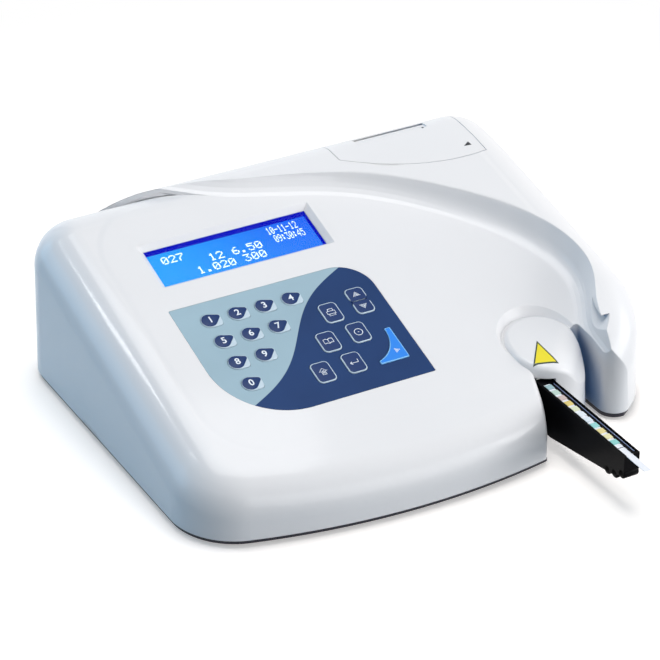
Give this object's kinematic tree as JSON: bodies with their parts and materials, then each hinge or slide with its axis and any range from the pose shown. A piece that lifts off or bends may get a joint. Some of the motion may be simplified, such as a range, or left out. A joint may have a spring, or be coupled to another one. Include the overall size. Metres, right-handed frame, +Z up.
{
  "type": "urine analyzer",
  "caption": "Bench urine analyzer: sloping white housing with display, membrane keypad, printer hatch and a black carriage that takes a test strip in.",
  "frame": {"origin": "middle of the footprint on the table, with the strip carriage run out", "axes": "+X right, +Y from the strip carriage to the rear connectors, +Z up"},
  "size_m": [0.37, 0.395, 0.1246],
  "materials": {
    "shell_white": "glossy moulded, fine grain",
    "hatch_white": "glossy moulded, fine grain",
    "base_dark": "moulded, fine texture",
    "foot_rubber": "matte",
    "screw_steel": "zinc plated",
    "clear_pane": "clear, polished",
    "frame_steel": "plated sheet",
    "display_blue": "blue display, lit from behind",
    "light_white": "diffuse",
    "board_green": "solder mask",
    "backing_grey": "film",
    "overlay_print": "printed film in two blues",
    "carriage_black": "glossy moulded",
    "strip_white": "white film",
    "pad_tints": "paper pads in eleven tints",
    "tile_white": "even white",
    "gear_white": "acetal",
    "motor_steel": "drawn can",
    "inner_grey": "moulded",
    "lens_glass": "clear",
    "inner_dark": "moulded",
    "roller_rubber": "ground",
    "shaft_steel": "ground",
    "gear_brass": "turned",
    "chip_black": "moulded",
    "inlet_black": "moulded",
    "rocker_black": "moulded",
    "port_nickel": "plated shell",
    "key_navy": "printed film, domed",
    "key_blue": "printed film, domed"
  },
  "bodies": {
    "chassis": {"top_shell": "shell_white", "base_tray": "base_dark", "rubber_feet": "foot_rubber", "housing_screws": "screw_steel", "display_window": "clear_pane", "display_frame": "frame_steel", "display_glass": "display_blue", "display_backlight": "light_white", "display_board": "board_green", "display_screws": "screw_steel", "keypad_backing": "backing_grey", "keypad_overlay": "overlay_print", "carriage_motor": "motor_steel", "motor_seat": "inner_grey", "carriage_guide": "inner_grey", "optical_head": "carriage_black", "head_lenses": "lens_glass", "printer_frame": "frame_steel", "print_head": "inner_dark", "printer_motor": "motor_steel", "main_board": "board_green", "board_standoffs": "gear_brass", "board_chips": "chip_black", "supply_cage": "frame_steel", "supply_board": "board_green", "mains_inlet": "inlet_black", "inlet_pins": "shaft_steel", "switch_frame": "inlet_black", "serial_port": "port_nickel", "port_nuts": "port_nickel"},
    "carriage": {"strip_carriage": "carriage_black", "test_strip": "strip_white", "reagent_pads": "pad_tints", "reference_tile": "tile_white"},
    "drive_gear": {"drive_pinion": "gear_white"},
    "hatch": {"printer_hatch": "hatch_white"},
    "platen": {"platen_roller": "roller_rubber", "platen_shaft": "shaft_steel", "platen_gear": "gear_white"},
    "feed_pinion": {"printer_pinion": "gear_brass"},
    "rocker": {"power_rocker": "rocker_black"},
    "fuse": {"fuse_drawer": "inlet_black"},
    "button_0": {"key_0": "key_navy"},
    "button_1": {"key_1": "key_navy"},
    "button_2": {"key_2": "key_navy"},
    "button_3": {"key_3": "key_navy"},
    "button_4": {"key_4": "key_navy"},
    "button_5": {"key_5": "key_navy"},
    "button_6": {"key_6": "key_navy"},
    "button_7": {"key_7": "key_navy"},
    "button_8": {"key_8": "key_navy"},
    "button_9": {"key_9": "key_navy"},
    "button_print": {"key_print": "key_navy"},
    "button_menu": {"key_menu": "key_navy"},
    "button_line": {"key_line": "key_navy"},
    "button_clear": {"key_clear": "key_navy"},
    "button_enter": {"key_enter": "key_navy"},
    "button_up": {"key_up": "key_navy"},
    "button_down": {"key_down": "key_navy"},
    "button_start": {"key_start": "key_blue"}
  },
  "joints": [
    {"name": "carriage_run", "type": "slide", "parent": "chassis", "child": "carriage", "axis": [0, 1, 0], "range_m": [0, 0.095]},
    {"name": "drive_turn", "type": "hinge", "parent": "chassis", "child": "drive_gear", "pos_m": [0.10302, 0.035, 0.034], "axis": [0, 0, 1], "range_deg": [-685, 5]},
    {"name": "hatch_slide", "type": "slide", "parent": "chassis", "child": "hatch", "axis": [0, 1, 0], "range_m": [0, 0.06]},
    {"name": "platen_turn", "type": "hinge", "parent": "chassis", "child": "platen", "pos_m": [0.1012, 0.166, 0.101], "axis": [1, 0, 0], "continuous": true},
    {"name": "feed_turn", "type": "hinge", "parent": "chassis", "child": "feed_pinion", "pos_m": [0.152, 0.15148, 0.101], "axis": [1, 0, 0], "continuous": true},
    {"name": "rocker_tip", "type": "hinge", "parent": "chassis", "child": "rocker", "pos_m": [-0.092, 0.1891, 0.0355], "axis": [1, 0, 0], "range_deg": [-16, 0]},
    {"name": "fuse_pull", "type": "slide", "parent": "chassis", "child": "fuse", "axis": [0, 1, 0], "range_m": [0, 0.02]},
    {"name": "press_0", "type": "slide", "parent": "chassis", "child": "button_0", "axis": [0, 0.2924, -0.9563], "range_m": [0, 0.0004], "stiffness_N_per_m": 400},
    {"name": "press_1", "type": "slide", "parent": "chassis", "child": "button_1", "axis": [0, 0.2924, -0.9563], "range_m": [0, 0.0004], "stiffness_N_per_m": 400},
    {"name": "press_2", "type": "slide", "parent": "chassis", "child": "button_2", "axis": [0, 0.2924, -0.9563], "range_m": [0, 0.0004], "stiffness_N_per_m": 400},
    {"name": "press_3", "type": "slide", "parent": "chassis", "child": "button_3", "axis": [0, 0.2924, -0.9563], "range_m": [0, 0.0004], "stiffness_N_per_m": 400},
    {"name": "press_4", "type": "slide", "parent": "chassis", "child": "button_4", "axis": [0, 0.2924, -0.9563], "range_m": [0, 0.0004], "stiffness_N_per_m": 400},
    {"name": "press_5", "type": "slide", "parent": "chassis", "child": "button_5", "axis": [0, 0.2924, -0.9563], "range_m": [0, 0.0004], "stiffness_N_per_m": 400},
    {"name": "press_6", "type": "slide", "parent": "chassis", "child": "button_6", "axis": [0, 0.2924, -0.9563], "range_m": [0, 0.0004], "stiffness_N_per_m": 400},
    {"name": "press_7", "type": "slide", "parent": "chassis", "child": "button_7", "axis": [0, 0.2924, -0.9563], "range_m": [0, 0.0004], "stiffness_N_per_m": 400},
    {"name": "press_8", "type": "slide", "parent": "chassis", "child": "button_8", "axis": [0, 0.2924, -0.9563], "range_m": [0, 0.0004], "stiffness_N_per_m": 400},
    {"name": "press_9", "type": "slide", "parent": "chassis", "child": "button_9", "axis": [0, 0.2924, -0.9563], "range_m": [0, 0.0004], "stiffness_N_per_m": 400},
    {"name": "press_print", "type": "slide", "parent": "chassis", "child": "button_print", "axis": [0, 0.2924, -0.9563], "range_m": [0, 0.0004], "stiffness_N_per_m": 400},
    {"name": "press_menu", "type": "slide", "parent": "chassis", "child": "button_menu", "axis": [0, 0.2924, -0.9563], "range_m": [0, 0.0004], "stiffness_N_per_m": 400},
    {"name": "press_line", "type": "slide", "parent": "chassis", "child": "button_line", "axis": [0, 0.2924, -0.9563], "range_m": [0, 0.0004], "stiffness_N_per_m": 400},
    {"name": "press_clear", "type": "slide", "parent": "chassis", "child": "button_clear", "axis": [0, 0.2924, -0.9563], "range_m": [0, 0.0004], "stiffness_N_per_m": 400},
    {"name": "press_enter", "type": "slide", "parent": "chassis", "child": "button_enter", "axis": [0, 0.2924, -0.9563], "range_m": [0, 0.0004], "stiffness_N_per_m": 400},
    {"name": "press_up", "type": "slide", "parent": "chassis", "child": "button_up", "axis": [0, 0.2924, -0.9563], "range_m": [0, 0.0004], "stiffness_N_per_m": 400},
    {"name": "press_down", "type": "slide", "parent": "chassis", "child": "button_down", "axis": [0, 0.2924, -0.9563], "range_m": [0, 0.0004], "stiffness_N_per_m": 400},
    {"name": "press_start", "type": "slide", "parent": "chassis", "child": "button_start", "axis": [0, 0.2924, -0.9563], "range_m": [0, 0.0004], "stiffness_N_per_m": 400}
  ],
  "couplings": [
    {"joint": "drive_turn", "follows": "carriage_run", "rad_per_m": -125},
    {"joint": "feed_turn", "follows": "platen_turn", "ratio": -2}
  ]
}
